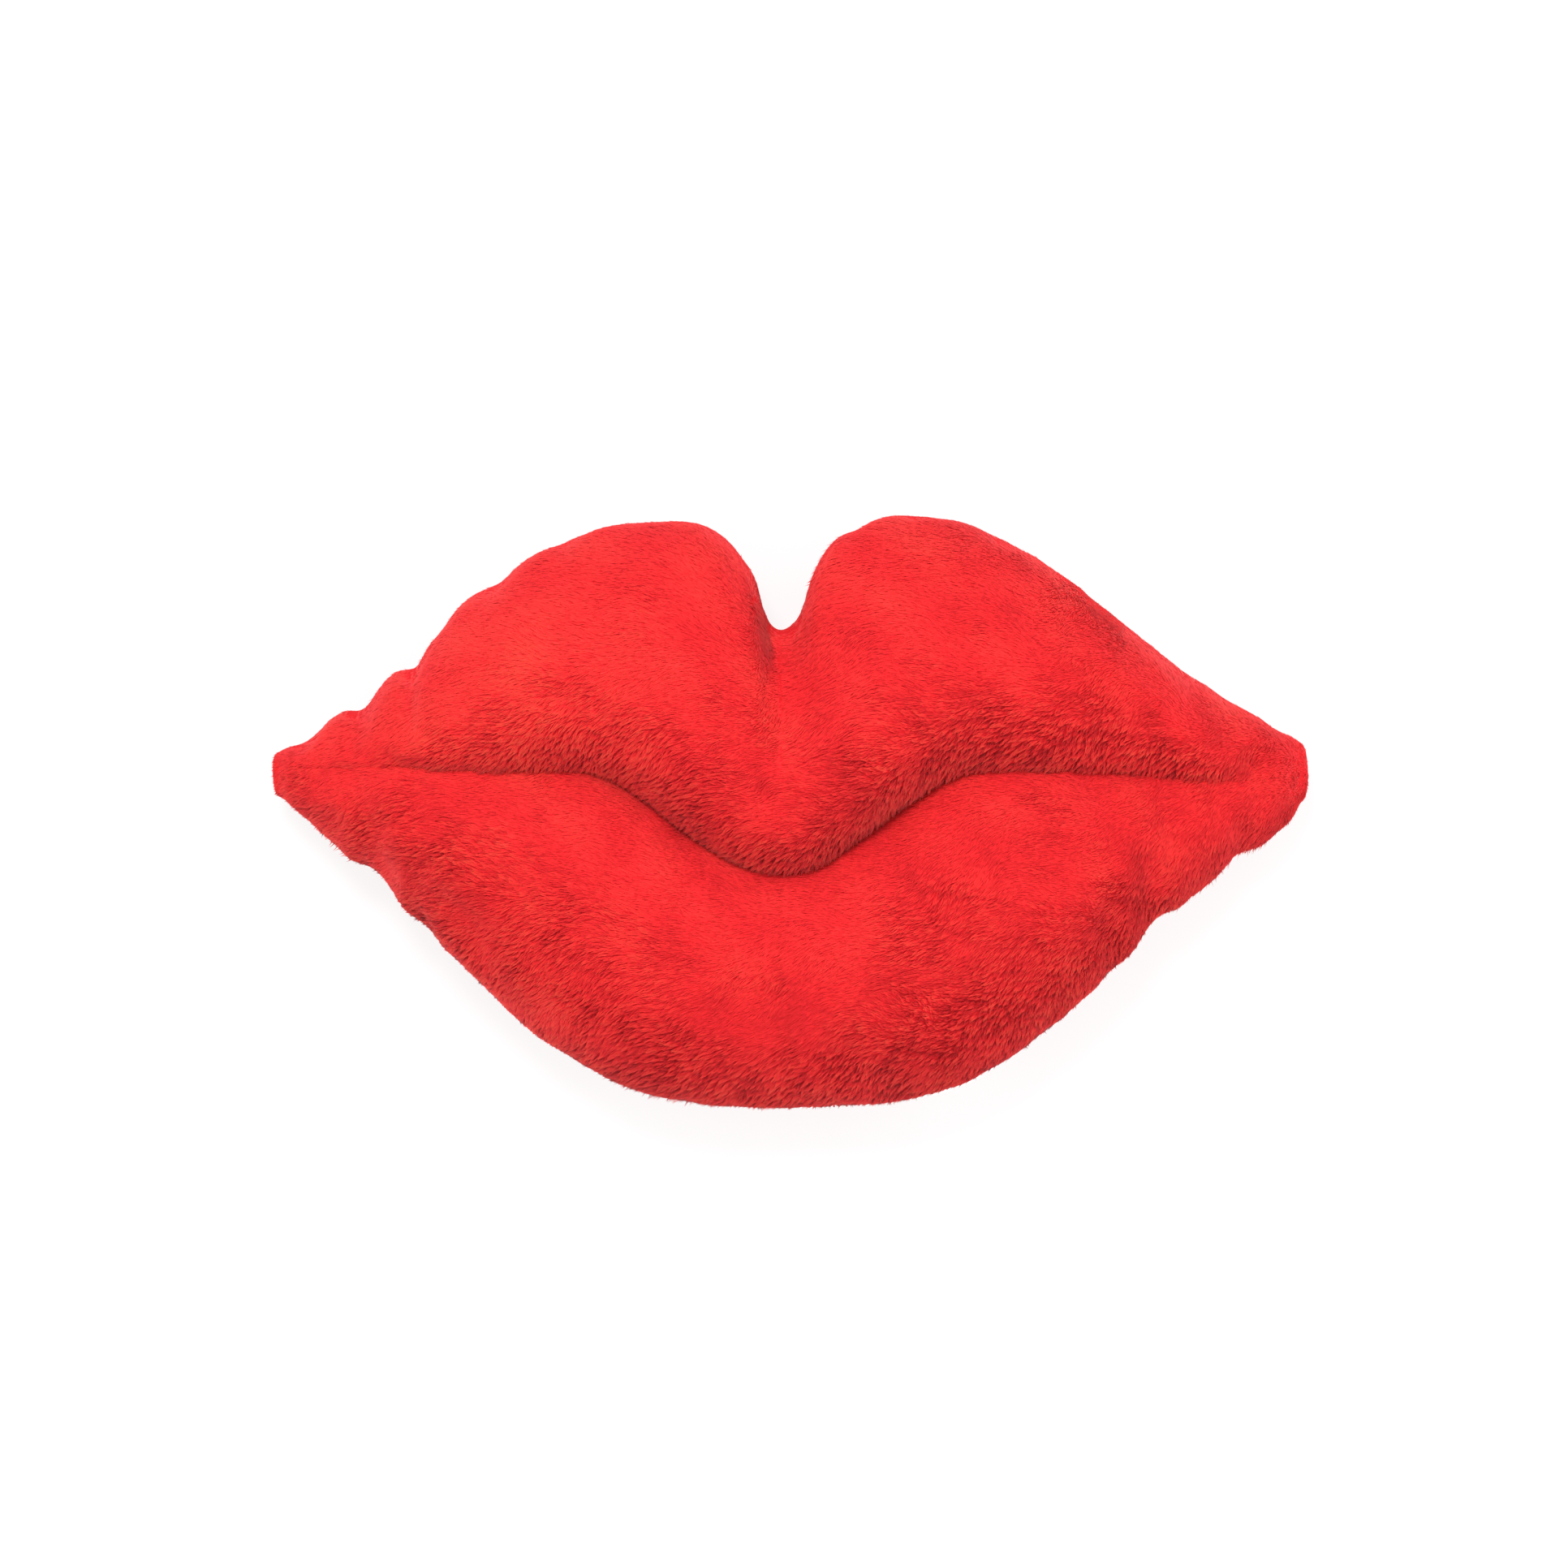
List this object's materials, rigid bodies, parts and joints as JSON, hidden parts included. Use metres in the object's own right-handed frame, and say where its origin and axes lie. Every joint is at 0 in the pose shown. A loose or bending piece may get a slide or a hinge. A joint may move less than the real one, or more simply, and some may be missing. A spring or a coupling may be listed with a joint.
{
  "type": "lips-shaped plush cushion",
  "caption": "Stuffed cushion of short-pile plush in the shape of a pair of lips, with a deep sewn mouth line, to lie on a bed or sofa.",
  "frame": {"origin": "on the surface that the cushion lies on, under the middle of its outline", "axes": "+X from the left corner of the mouth to the right one as seen from the front, +Y from the lower lip to the upper lip, +Z out of the front"},
  "size_m": [0.5, 0.286, 0.1034],
  "materials": {
    "front_plush": "short dense red pile with a soft sheen, brushed mostly to the lower left",
    "back_plush": "the same short dense red pile",
    "polyester_fibre": "matt white fibre",
    "thread": "satin red polyester sewing thread",
    "label_satin": "blank white satin ribbon"
  },
  "bodies": {
    "root": {"upper_front_panel": "front_plush", "lower_front_panel": "front_plush", "upper_back_panel": "back_plush", "lower_back_panel": "back_plush", "upper_lip_filling": "polyester_fibre", "lower_lip_filling": "polyester_fibre", "edge_seam_needle_thread": "thread", "edge_seam_bobbin_thread": "thread", "mouth_seam_needle_thread": "thread", "mouth_seam_bobbin_thread": "thread", "back_seam_thread": "thread", "closing_thread": "thread", "care_label": "label_satin"}
  },
  "joints": []
}
